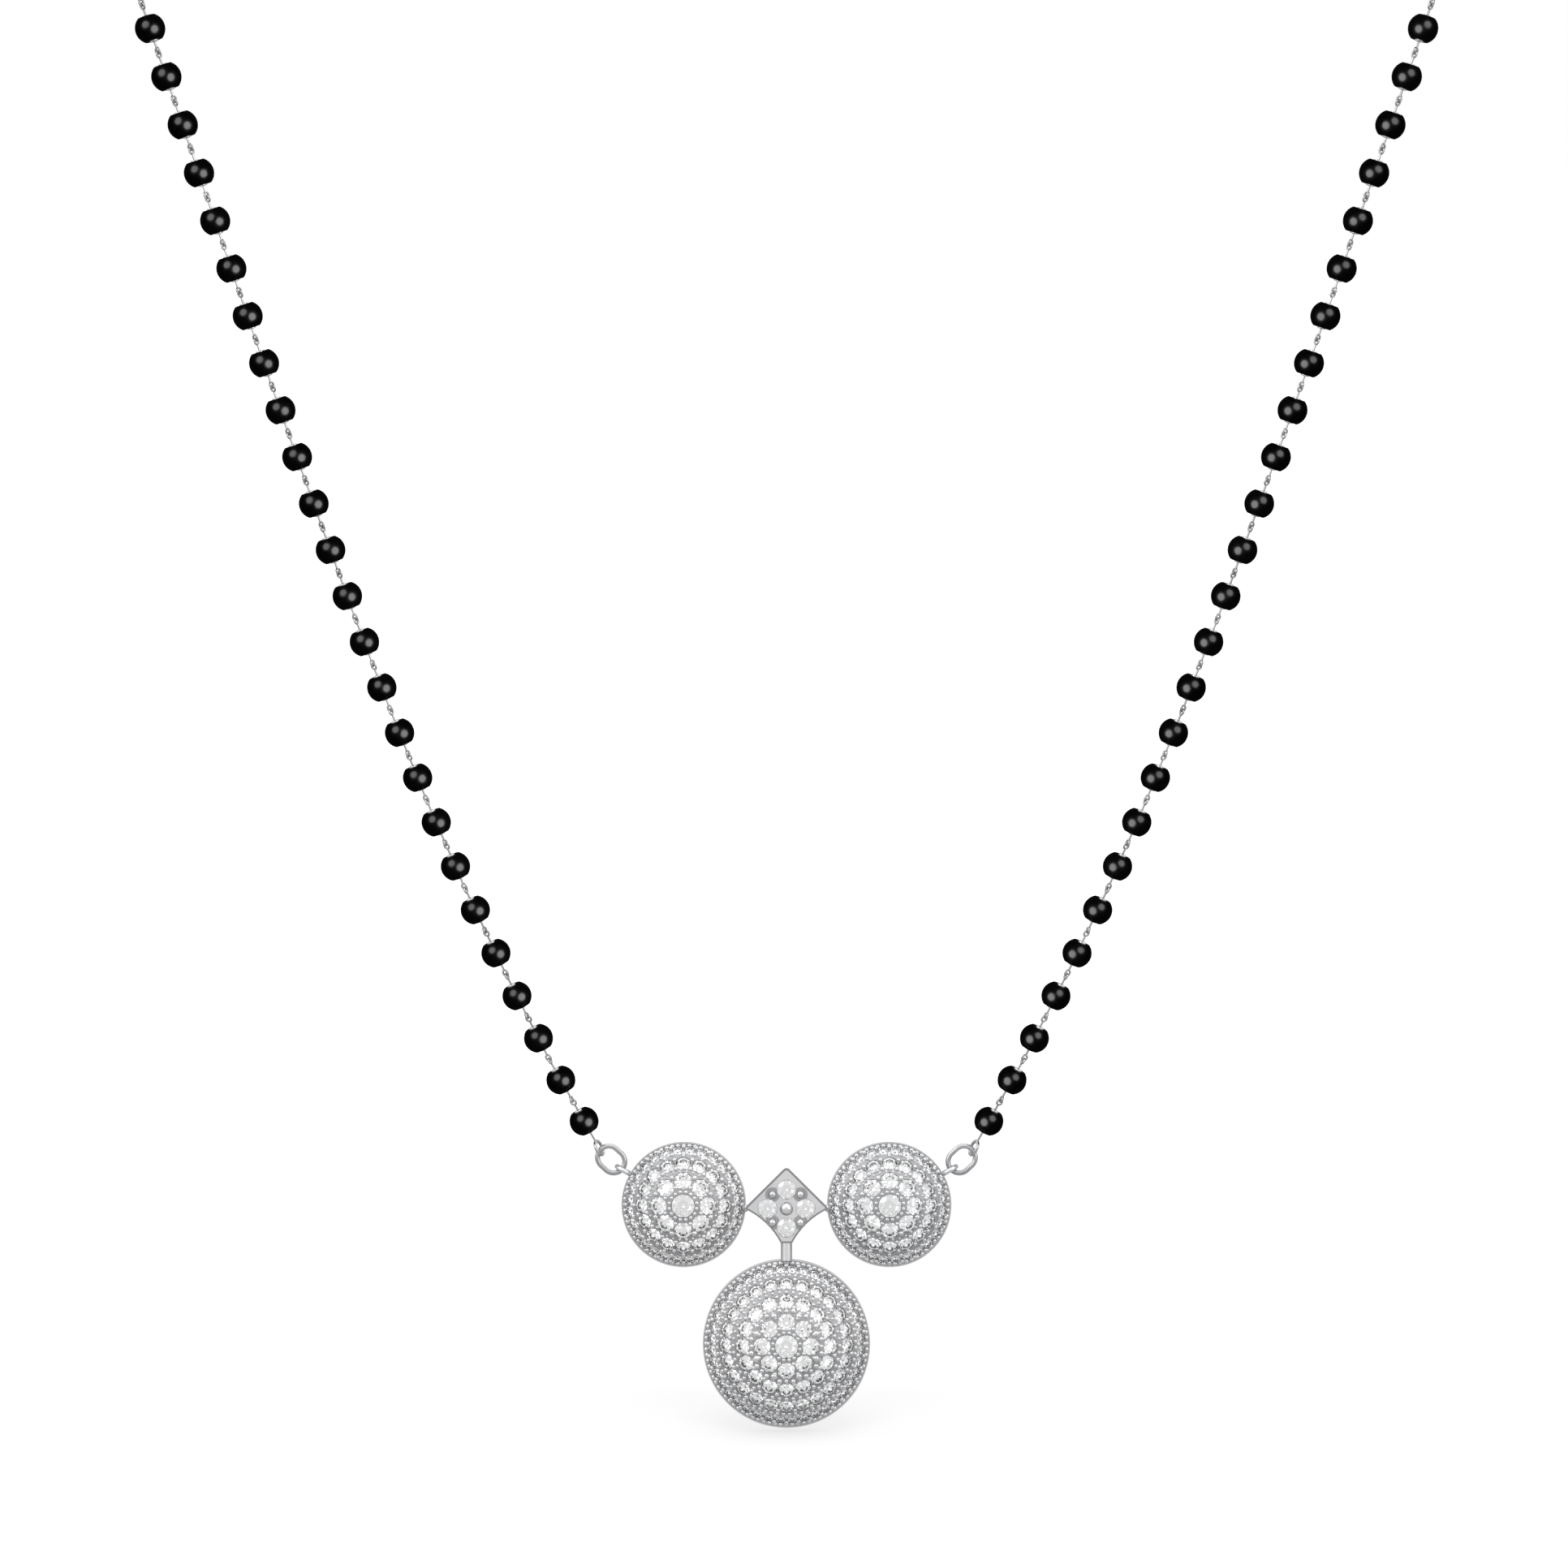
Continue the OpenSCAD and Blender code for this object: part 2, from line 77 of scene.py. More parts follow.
def polish_marks():
    """A group that gives the fine swirls that polishing leaves: a tone, a roughness and a height."""
    group = bpy.data.node_groups.new("polish_marks", "ShaderNodeTree")
    for label in ("Swirl Scale", "Low Roughness", "High Roughness"):
        group.interface.new_socket(label, in_out="INPUT", socket_type="NodeSocketFloat")
    for label in ("Tone", "Roughness", "Height"):
        group.interface.new_socket(label, in_out="OUTPUT", socket_type="NodeSocketFloat")
    nodes, links = group.nodes, group.links
    given = nodes.new("NodeGroupInput")
    result = nodes.new("NodeGroupOutput")
    place = nodes.new("ShaderNodeTexCoord")
    swirl = nodes.new("ShaderNodeTexNoise")
    swirl.inputs["Detail"].default_value = 5
    swirl.inputs["Distortion"].default_value = 1.2
    patches = nodes.new("ShaderNodeTexNoise")
    patches.inputs["Detail"].default_value = 2
    patch_scale = nodes.new("ShaderNodeMath")
    patch_scale.operation = "MULTIPLY"
    patch_scale.inputs[1].default_value = PATCH_SCALE
    spread = nodes.new("ShaderNodeMapRange")
    spread.inputs["From Min"].default_value = 0.3
    spread.inputs["From Max"].default_value = 0.7
    links.new(place.outputs["Object"], swirl.inputs["Vector"])
    links.new(place.outputs["Object"], patches.inputs["Vector"])
    links.new(given.outputs["Swirl Scale"], swirl.inputs["Scale"])
    links.new(given.outputs["Swirl Scale"], patch_scale.inputs[0])
    links.new(patch_scale.outputs[0], patches.inputs["Scale"])
    links.new(swirl.outputs["Fac"], spread.inputs["Value"])
    links.new(given.outputs["Low Roughness"], spread.inputs["To Min"])
    links.new(given.outputs["High Roughness"], spread.inputs["To Max"])
    links.new(patches.outputs["Fac"], result.inputs["Tone"])
    links.new(spread.outputs["Result"], result.inputs["Roughness"])
    links.new(swirl.outputs["Fac"], result.inputs["Height"])
    return group


marks = polish_marks()


def polished(name, light, dark, swirl_scale, low_roughness, high_roughness, relief):
    """A material whose colour, roughness and relief follow the polishing marks, and its shader."""
    material = bpy.data.materials.new(name)
    material.use_nodes = True
    nodes, links = material.node_tree.nodes, material.node_tree.links
    shader = nodes["Principled BSDF"]
    swirls = nodes.new("ShaderNodeGroup")
    swirls.node_tree = marks
    swirls.inputs["Swirl Scale"].default_value = swirl_scale
    swirls.inputs["Low Roughness"].default_value = low_roughness
    swirls.inputs["High Roughness"].default_value = high_roughness
    tone = nodes.new("ShaderNodeValToRGB")
    tone.color_ramp.elements[0].position = 0.35
    tone.color_ramp.elements[0].color = (*dark, 1)
    tone.color_ramp.elements[1].position = 0.65
    tone.color_ramp.elements[1].color = (*light, 1)
    bump = nodes.new("ShaderNodeBump")
    bump.inputs["Strength"].default_value = 0.25
    bump.inputs["Distance"].default_value = relief
    links.new(swirls.outputs["Tone"], tone.inputs["Fac"])
    links.new(tone.outputs["Color"], shader.inputs["Base Color"])
    links.new(swirls.outputs["Roughness"], shader.inputs["Roughness"])
    links.new(swirls.outputs["Height"], bump.inputs["Height"])
    links.new(bump.outputs["Normal"], shader.inputs["Normal"])
    return material, shader


silver, silver_shader = polished(
    "polished_silver",
    light=(0.80, 0.80, 0.81),
    dark=(0.68, 0.685, 0.70),
    swirl_scale=5200,
    low_roughness=0.1,
    high_roughness=0.22,
    relief=0.004 * MM,
)
silver_shader.inputs["Metallic"].default_value = 1

# Places on the pendant are given as right, up and front of the rhombus's centre, and it leans back as worn
LEAN = 12
PENDANT_AT = (0, -88 * MM, -120 * MM)
pendant = Matrix.Translation(PENDANT_AT) @ Matrix.Rotation(radians(90 - LEAN), 4, "X")
SIDE_DISC_R = 4.25 * MM
DROP_DISC_R = 5.7 * MM
SIDE_DISC_OUT = 7 * MM
SIDE_DISC_UP = 0.25 * MM
DROP_DISC_DOWN = 9.16 * MM
DISC_PLACES = {
    "left_disc": Vector((-SIDE_DISC_OUT, SIDE_DISC_UP, 0)),
    "right_disc": Vector((SIDE_DISC_OUT, SIDE_DISC_UP, 0)),
    "drop_disc": Vector((0, -DROP_DISC_DOWN, 0)),
}
DISC_RADII = {"left_disc": SIDE_DISC_R, "right_disc": SIDE_DISC_R, "drop_disc": DROP_DISC_R}
RIM_EDGE_W = 0.06 * MM
DOME_FOOT_DOWN = 0.1 * MM
RHOMBUS_FRONT = 0.475 * MM
RHOMBUS_BORDER_UP = 0.1 * MM
RHOMBUS_FACE_MIDDLE = (0, 0.35 * MM, 0)
RHOMBUS_FACE_R = 2.75 * MM
RHOMBUS_BORDER_R = 1.6 * MM
RHOMBUS_GRAIN_OUT = 0.95 * MM
HOLLOW_R = 0.5 * MM
LEVEL_TOLERANCE = 0.04 * MM

# How strongly each ground is painted darker as shade and made matt, from nought to one
DOME_SHADE_AND_MATT = 0.8
HOLLOW_SHADE_AND_MATT = 0.8
FACE_SHADE_AND_MATT = 0.05
FLANK_SHADE_AND_MATT = 0.7

# A surface is a front above the first of these shares of facing the front, and a flank below the second
FRONT_FACING = 0.8
FLANK_FACING = 0.85
FLANK_RISE = 1.5


def shade_and_matt_mask():
    """A group that gives a mask of painted shade and matt ground: domes, flanks, and the rhombus's border
    and hollows.
    """
    group = bpy.data.node_groups.new("shade_and_matt_mask", "ShaderNodeTree")
    group.interface.new_socket("Bed", in_out="OUTPUT", socket_type="NodeSocketFloat")
    nodes, links = group.nodes, group.links
    result = nodes.new("NodeGroupOutput")
    place = nodes.new("ShaderNodeTexCoord")
    local = nodes.new("ShaderNodeMapping")
    local.vector_type = "TEXTURE"
    local.inputs["Location"].default_value = PENDANT_AT
    local.inputs["Rotation"].default_value = (radians(90 - LEAN), 0, 0)
    links.new(place.outputs["Object"], local.inputs["Vector"])
    parts = nodes.new("ShaderNodeSeparateXYZ")
    links.new(local.outputs["Vector"], parts.inputs["Vector"])

    def math(operation, first, second, third=0):
        node = nodes.new("ShaderNodeMath")
        node.operation = operation
        for socket, value in zip(node.inputs, (first, second, third)):
            if isinstance(value, (int, float)):
                socket.default_value = value
            else:
                links.new(value, socket)
        return node.outputs[0]

    def within(centre, reach):
        """One inside a circle round a place on the pendant, and nought outside it."""
        flat = nodes.new("ShaderNodeCombineXYZ")
        links.new(parts.outputs["X"], flat.inputs["X"])
        links.new(parts.outputs["Y"], flat.inputs["Y"])
        away = nodes.new("ShaderNodeVectorMath")
        away.operation = "DISTANCE"
        away.inputs[1].default_value = centre
        links.new(flat.outputs["Vector"], away.inputs[0])
        return math("LESS_THAN", away.outputs["Value"], reach)

    domes = 0
    for disc, centre in DISC_PLACES.items():
        domes = math("ADD", domes, within(centre, DISC_RADII[disc] - RIM_EDGE_W))
    domes = math("MULTIPLY", domes, math("GREATER_THAN", parts.outputs["Z"], -DOME_FOOT_DOWN))
    facing = nodes.new("ShaderNodeVectorMath")
    facing.operation = "DOT_PRODUCT"
    facing.inputs[1].default_value = (0, -cos(radians(LEAN)), sin(radians(LEAN)))
    surface = nodes.new("ShaderNodeNewGeometry")
    links.new(surface.outputs["Normal"], facing.inputs[0])
    face = math("COMPARE", parts.outputs["Z"], RHOMBUS_FRONT, LEVEL_TOLERANCE)
    face = math("MULTIPLY", face, within(RHOMBUS_FACE_MIDDLE, RHOMBUS_FACE_R))
    border = math("COMPARE", parts.outputs["Z"], RHOMBUS_FRONT + RHOMBUS_BORDER_UP, LEVEL_TOLERANCE)
    border = math("MULTIPLY", border, math("SUBTRACT", 1, within((0, 0, 0), RHOMBUS_BORDER_R)))
    quarter = nodes.new("ShaderNodeVectorMath")
    quarter.operation = "ABSOLUTE"
    links.new(local.outputs["Vector"], quarter.inputs[0])
    from_grain = nodes.new("ShaderNodeVectorMath")
    from_grain.operation = "DISTANCE"
    from_grain.inputs[1].default_value = (RHOMBUS_GRAIN_OUT, RHOMBUS_GRAIN_OUT, RHOMBUS_FRONT)
    links.new(quarter.outputs["Vector"], from_grain.inputs[0])
    hollows = math("LESS_THAN", from_grain.outputs["Value"], HOLLOW_R)
    face = math("MULTIPLY", face, math("MULTIPLY_ADD", hollows, HOLLOW_SHADE_AND_MATT - FACE_SHADE_AND_MATT, FACE_SHADE_AND_MATT))
    rhombus = math("ADD", border, face)
    rhombus = math("MULTIPLY", rhombus, math("GREATER_THAN", facing.outputs["Value"], FRONT_FACING))
    flanks = math("SUBTRACT", FLANK_FACING, math("ABSOLUTE", facing.outputs["Value"], 0))
    flanks = math("MINIMUM", math("MULTIPLY", flanks, FLANK_RISE), FLANK_SHADE_AND_MATT)
    front = math("MAXIMUM", math("MULTIPLY", domes, DOME_SHADE_AND_MATT), rhombus)
    links.new(math("MAXIMUM", front, flanks), result.inputs["Bed"])
    return group


def shade_and_roughen_bed(material, shader, colour, roughness):
    """Paints the ground between the stones of a polished material darker, as shade, and makes it rougher."""
    nodes, links = material.node_tree.nodes, material.node_tree.links
    bed = nodes.new("ShaderNodeGroup")
    bed.node_tree = shade_and_matt_mask()
    # In a Mix node, colours go in at sockets 6 and 7 and come out at 2, and numbers at 2, 3 and 0
    for socket, kind, first, second, result, value in (
        ("Base Color", "RGBA", 6, 7, 2, (*colour, 1)),
        ("Roughness", "FLOAT", 2, 3, 0, roughness),
    ):
        polish = shader.inputs[socket].links[0].from_socket
        mix = nodes.new("ShaderNodeMix")
        mix.data_type = kind
        links.new(bed.outputs["Bed"], mix.inputs["Factor"])
        links.new(polish, mix.inputs[first])
        mix.inputs[second].default_value = value
        links.new(mix.outputs[result], shader.inputs[socket])


# The frame wears a lighter copy of the polished silver: painted light that makes its polished faces whiter.
lit_set_silver, lit_set_silver_shader = polished(
    "lit_set_silver",
    light=(0.92, 0.92, 0.93),
    dark=(0.84, 0.845, 0.86),
    swirl_scale=5200,
    low_roughness=0.1,
    high_roughness=0.22,
    relief=0.004 * MM,
)
lit_set_silver_shader.inputs["Metallic"].default_value = 1
# Painted shade: the ground between the stones, the flanks and the rhombus's border and hollows are darkened
# in colour. Their higher roughness is a real matt finish.
shade_and_roughen_bed(lit_set_silver, lit_set_silver_shader, colour=(0.35, 0.35, 0.36), roughness=0.6)


def finish_node(node, material):
    """Gives a CAD node its material in every slot."""
    piece = frame["nodes"][node]
    for slot in piece.material_slots:
        slot.material = material


finish_node("pendant_frame", lit_set_silver)


# The stones are round brilliants of clear cubic zirconia. One is cut here as on a lapidary's wheel, from a
# round blank, one flat facet after another, and the others are copies of it at their own size. Each drops
# into its drilled seat, girdle just under the metal.
TABLE_R = 0.28
GIRDLE_R = 0.5
GIRDLE_HALF = 0.015
BLANK_H = 1.2
MAIN_FACETS = 8
CROWN_ANGLE = 34.5
STAR_ANGLE = 22
UPPER_HALF_ANGLE = 40.5
PAVILION_ANGLE = 40.8
LOWER_HALF_ANGLE = 42
TABLE_UP = GIRDLE_HALF + (GIRDLE_R - TABLE_R) * tan(radians(CROWN_ANGLE))


def grind(angle, turn, through):
    """Cuts off all that lies outside a plane through a point of the blank, tilted by angle from flat."""
    normal = Vector((sin(radians(angle)), 0, cos(radians(angle))))
    spin = Matrix.Rotation(radians(turn), 3, "Z")
    bpy.ops.mesh.select_all(action="SELECT")
    bpy.ops.mesh.bisect(
        plane_co=spin @ Vector(through), plane_no=spin @ normal, use_fill=True, clear_outer=True
    )


def cut_brilliant():
    deselect_all()
    bpy.ops.mesh.primitive_cylinder_add(vertices=4 * MAIN_FACETS, radius=GIRDLE_R, depth=BLANK_H)
    stone = bpy.context.object
    bpy.ops.object.mode_set(mode="EDIT")
    grind(0, 0, (0, 0, TABLE_UP))
    for side in range(MAIN_FACETS):
        turn = 360 * side / MAIN_FACETS
        grind(CROWN_ANGLE, turn, (GIRDLE_R, 0, GIRDLE_HALF))
        grind(STAR_ANGLE, turn + 180 / MAIN_FACETS, (TABLE_R * cos(pi / MAIN_FACETS), 0, TABLE_UP))
        grind(180 - PAVILION_ANGLE, turn, (GIRDLE_R, 0, -GIRDLE_HALF))
    for side in range(2 * MAIN_FACETS):
        turn = 180 * (side + 0.5) / MAIN_FACETS
        grind(UPPER_HALF_ANGLE, turn, (GIRDLE_R, 0, GIRDLE_HALF))
        grind(180 - LOWER_HALF_ANGLE, turn, (GIRDLE_R, 0, -GIRDLE_HALF))
    bpy.ops.mesh.select_all(action="SELECT")
    bpy.ops.mesh.remove_doubles(threshold=0.0005)
    bpy.ops.mesh.normals_make_consistent(inside=False)
    bpy.ops.object.mode_set(mode="OBJECT")
    return stone


brilliant = cut_brilliant()

zirconia, zirconia_shader = polished(
    "clear_zirconia",
    light=(1, 1, 1),
    dark=(0.94, 0.95, 0.97),
    swirl_scale=900,
    low_roughness=0,
    high_roughness=0.015,
    relief=0.0002 * MM,
)
zirconia_shader.inputs["Transmission Weight"].default_value = 1
zirconia_shader.inputs["IOR"].default_value = 2.15


def placed_copies(model, name, places):
    """One piece made of copies of a model, each with its own mesh, moved by its own matrix."""
    deselect_all()
    copies = []
    for place in places:
        copy = model.copy()
        copy.data = model.data.copy()
        bpy.context.scene.collection.objects.link(copy)
        copy.data.transform(place)
        copy.matrix_world = Matrix.Identity(4)
        copy.select_set(True)
        copies.append(copy)
    bpy.context.view_layer.objects.active = copies[0]
    if len(copies) > 1:
        bpy.ops.object.join()
    piece = bpy.context.view_layer.objects.active
    piece.name = name
    piece.data.name = name
    return piece


def dress(piece, material, nodes=()):
    """Gives a finished piece its material and slot, and lets it ride and stand for its CAD nodes."""
    piece.data.materials.clear()
    piece.data.materials.append(material)
    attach(piece, "root")
    if nodes:
        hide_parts(*nodes)
    return piece


# Each ring of stones: share of the disc's radius, number of stones, turn of the first as a share of a step
SIDE_RINGS = [(0.4, 8, 0), (0.67, 16, 0), (0.878, 28, 0.5)]
DROP_RINGS = [(0.29, 8, 0), (0.525, 16, 0), (0.73, 24, 0), (0.895, 40, 0.5)]
DISC_RINGS = {"left_disc": SIDE_RINGS, "right_disc": SIDE_RINGS, "drop_disc": DROP_RINGS}
RIM_W = 0.2 * MM
DOME_SLOPE = 50
SET_DEPTH = 0.07 * MM
STONE_SPACE = 0.1 * MM
CENTRE_STONE_D = 1.55 * MM
RHOMBUS_STONE_D = 1.3 * MM
RHOMBUS_STONE_OUT = 1.29 * MM


def dome_r(disc):
    """The radius of the sphere that a disc's dome is part of."""
    return (DISC_RADII[disc] - RIM_W) / sin(radians(DOME_SLOPE))


def on_dome(disc, tilt, turn, depth):
    """The matrix that stands a model on a disc's dome: tilted from its top, turned round it and sunk."""
    sink = dome_r(disc) * cos(radians(DOME_SLOPE))
    return (
        pendant
        @ Matrix.Translation(DISC_PLACES[disc] - Vector((0, 0, sink)))
        @ Matrix.Rotation(radians(90 + turn), 4, "Z")
        @ Matrix.Rotation(tilt, 4, "Y")
        @ Matrix.Translation((0, 0, dome_r(disc) - depth))
    )


def ring_tilt(disc, share):
    """How far a ring is tilted from the top of its dome, from its radius as a share of the disc's."""
    return asin(DISC_RADII[disc] * share / dome_r(disc))


def ring_stone_d(disc, share, count):
    """The diameter of a ring's stones, which leave a small space between each other."""
    return 2 * DISC_RADII[disc] * share * sin(pi / count) - STONE_SPACE


for disc, rings in DISC_RINGS.items():
    place = on_dome(disc, 0, 0, SET_DEPTH) @ Matrix.Scale(CENTRE_STONE_D, 4)
    centre = placed_copies(brilliant, disc + "_centre_brilliant", [place])
    dress(centre, zirconia, [disc + "_centre_stone"])
    for number, (share, count, first) in enumerate(rings, 1):
        size = Matrix.Scale(ring_stone_d(disc, share, count), 4)
        ring = placed_copies(
            brilliant,
            f"{disc}_ring_{number}_brilliants",
            [
                on_dome(disc, ring_tilt(disc, share), (step + first) * 360 / count, SET_DEPTH) @ size
                for step in range(count)
            ],
        )
        node = f"{disc}_ring_{number}"
        dress(ring, zirconia, [node] if node in frame["nodes"] else [])

for name, turn in (("right", 0), ("top", 90), ("left", 180), ("bottom", 270)):
    out = Vector((cos(radians(turn)), sin(radians(turn)), 0)) * RHOMBUS_STONE_OUT
    place = pendant @ Matrix.Translation(out + Vector((0, 0, RHOMBUS_FRONT - SET_DEPTH)))
    stone = placed_copies(
        brilliant, f"rhombus_{name}_brilliant", [place @ Matrix.Scale(RHOMBUS_STONE_D, 4)]
    )
    dress(stone, zirconia, [f"rhombus_stone_{name}"])

bpy.data.objects.remove(brilliant)


# Grains hold the stones: small beads of the disc's own metal, raised with a graver between the stones and
# pushed over their edges. Two rows go with each ring, one inside it and one outside, and further rows fill
# the metal between the rings. The last row runs along the rim as a beaded edge.
GRAIN_R = 0.18 * MM
GRAIN_FLATNESS = 0.85
GRAIN_SINK = 0.03 * MM
GRAIN_OVERLAP = 0.02 * MM

deselect_all()
bpy.ops.mesh.primitive_uv_sphere_add(segments=8, ring_count=6, radius=GRAIN_R)
grain = bpy.context.object
bpy.ops.object.mode_set(mode="EDIT")
bpy.ops.mesh.select_all(action="SELECT")
bpy.ops.transform.resize(value=(1, 1, GRAIN_FLATNESS))
bpy.ops.object.mode_set(mode="OBJECT")
bpy.ops.object.shade_smooth()

# Further rows: share of the disc's radius, number of grains, turn of the first as a share of a step, size
SIDE_GRAIN_ROWS = [
    (0.2235, 16, 0.5, 0.9),
    (0.478, 8, 0.5, 1.2),
    (0.548, 32, 0.5, 0.6),
    (0.791, 16, 0, 0.9),
    (0.9506, 64, 0, 1.1),
]
DROP_GRAIN_ROWS = [
    (0.163, 16, 0.5, 0.9),
    (0.385, 8, 0.5, 1.45),
    (0.4136, 16, 0, 1),
    (0.4246, 16, 0.5, 1.2),
    (0.6334, 48, 0, 0.9),
    (0.8253, 72, 0.5, 0.9),
    (0.963, 88, 0, 1.1),
]

for disc, rings in DISC_RINGS.items():
    places = []
    for share, count, first, size in DROP_GRAIN_ROWS if disc == "drop_disc" else SIDE_GRAIN_ROWS:
        for step in range(count):
            place = on_dome(disc, ring_tilt(disc, share), (step + first) * 360 / count, GRAIN_SINK)
            places.append(place @ Matrix.Scale(size, 4))
    for share, count, first in rings:
        stone_r = ring_stone_d(disc, share, count) / 2
        hold = stone_r + GRAIN_R - GRAIN_OVERLAP
        reach = sqrt(hold * hold - (stone_r + STONE_SPACE / 2) ** 2) / dome_r(disc)
        for side in (-reach, reach):
            for step in range(count):
                turn = (step + first + 0.5) * 360 / count
                places.append(on_dome(disc, ring_tilt(disc, share) + side, turn, GRAIN_SINK))
    grains = placed_copies(grain, disc + "_grains", places)
    dress(grains, silver)

# Four larger grains stand between the rhombus's stones
RHOMBUS_GRAIN_SIZE = 1.65
places = []
for right in (-RHOMBUS_GRAIN_OUT, RHOMBUS_GRAIN_OUT):
    for up in (-RHOMBUS_GRAIN_OUT, RHOMBUS_GRAIN_OUT):
        place = pendant @ Matrix.Translation((right, up, RHOMBUS_FRONT))
        places.append(place @ Matrix.Scale(RHOMBUS_GRAIN_SIZE, 4))
dress(placed_copies(grain, "rhombus_grains", places), silver)

bpy.data.objects.remove(grain)


# Two oval jump rings of round silver wire join the pendant to the strands. Each is bent from one length of
# wire and hangs in the small loop that is soldered to its side disc.
JUMP_END_R = 0.77 * MM
JUMP_STRAIGHT = 0.44 * MM
JUMP_WIRE_R = 0.18 * MM
JUMP_ANGLE = 42

# The wire wears a darker copy of the polished silver: painted shade, besides its rougher drawn finish.
shaded_drawn_wire, shaded_drawn_wire_shader = polished(
    "shaded_drawn_silver_wire",
    light=(0.62, 0.62, 0.63),
    dark=(0.45, 0.455, 0.47),
    swirl_scale=5200,
    low_roughness=0.15,
    high_roughness=0.3,
    relief=0.004 * MM,
)
shaded_drawn_wire_shader.inputs["Metallic"].default_value = 1


def pull_apart(length):
    """Makes a ring in the XY plane oval: its two halves move apart along X."""
    for side in (1, -1):
        mesh = bmesh.from_edit_mesh(bpy.context.object.data)
        for vertex in mesh.verts:
            vertex.select_set(vertex.co.x * side > 0)
        mesh.select_flush_mode()
        bmesh.update_edit_mesh(bpy.context.object.data)
        bpy.ops.transform.translate(value=(side * length / 2, 0, 0))


def oval_ring(end_r, straight, wire_r, round_steps, wire_steps):
    """A ring of wire in the XY plane, turned half a step, so that no vertex lies between its halves."""
    deselect_all()
    bpy.ops.mesh.primitive_torus_add(
        major_radius=end_r, minor_radius=wire_r, major_segments=round_steps, minor_segments=wire_steps
    )
    ring = bpy.context.object
    bpy.ops.object.mode_set(mode="EDIT")
    bpy.ops.mesh.select_mode(type="VERT")
    bpy.ops.mesh.select_all(action="SELECT")
    bpy.ops.transform.rotate(value=pi / round_steps, orient_axis="Z", center_override=(0, 0, 0))
    if straight:
        pull_apart(straight)
    bpy.ops.object.mode_set(mode="OBJECT")
    bpy.ops.object.shade_smooth()
    return ring


jump_model = oval_ring(JUMP_END_R, JUMP_STRAIGHT, JUMP_WIRE_R, round_steps=40, wire_steps=14)
for name, side in (("left", -1), ("right", 1)):
    low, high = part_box(name + "_jump_ring")
    middle = (low + high) / 2
    turned = Matrix.Rotation(radians(90 - side * (90 - JUMP_ANGLE)), 4, "Z")
    place = Matrix.Translation(middle) @ Matrix.Rotation(radians(90 - LEAN), 4, "X") @ turned
    ring = placed_copies(jump_model, name + "_oval_jump_ring", [place])
    dress(ring, shaded_drawn_wire, [name + "_jump_ring"])
bpy.data.objects.remove(jump_model)


# Each strand is strung with round beads of glossy black glass. Both ends are ground flat, and the holes are
# drilled through and a little widened at both mouths. The beads go in pairs, each on one straight stretch.
BEAD_R = 0.997 * MM
BORE_R = 0.31 * MM
MOUTH_R = 0.37 * MM
BEAD_SEGMENTS = 24
BEAD_RINGS = 15
FLAT_RING = 3
FLAT_TILT = FLAT_RING * pi / BEAD_RINGS
RING_TOLERANCE = 0.01 * MM
SHARP_ANGLE = radians(40)


def strand_centres(node):
    """The bead centres of one strand, from the pendant to the clasp, read from its node's loose parts."""
    source = frame["nodes"][node]
    copy = source.copy()
    copy.data = source.data.copy()
    copy.parent = None
    bpy.context.scene.collection.objects.link(copy)
    deselect_all()
    copy.select_set(True)
    bpy.context.view_layer.objects.active = copy
    bpy.ops.object.mode_set(mode="EDIT")
    bpy.ops.mesh.select_all(action="SELECT")
    bpy.ops.mesh.remove_doubles(threshold=0.001 * MM)
    bpy.ops.mesh.separate(type="LOOSE")
    bpy.ops.object.mode_set(mode="OBJECT")
    loose = list(bpy.context.selected_objects)
    centres = []
    for part in loose:
        corners = [vertex.co for vertex in part.data.vertices]
        centres.append(sum(corners, Vector()) / len(corners))
    for part in loose:
        bpy.data.objects.remove(part)
    ordered = [min(centres, key=lambda centre: centre.z)]
    centres.remove(ordered[0])
    while centres:
        following = min(centres, key=lambda centre: (centre - ordered[-1]).length)
        centres.remove(following)
        ordered.append(following)
    return ordered


NECK_MIDDLE = Vector((0, -44, 0)) * MM


def strand_places(centres):
    """A matrix for each bead: its middle, Z along the strand, and X pointing away from the neck."""
    places = []
    for number, centre in enumerate(centres):
        pair = number - number % 2
        direction = (centres[pair + 1] - centres[pair]).normalized()
        out = Vector((centre.x, centre.y, 0)) - NECK_MIDDLE
        out = (out - direction * out.dot(direction)).normalized()
        turned = Matrix((out, direction.cross(out), direction)).transposed().to_4x4()
        places.append(Matrix.Translation(centre) @ turned)
    return places


strands = {name: strand_places(strand_centres(name + "_beads")) for name in ("left", "right")}

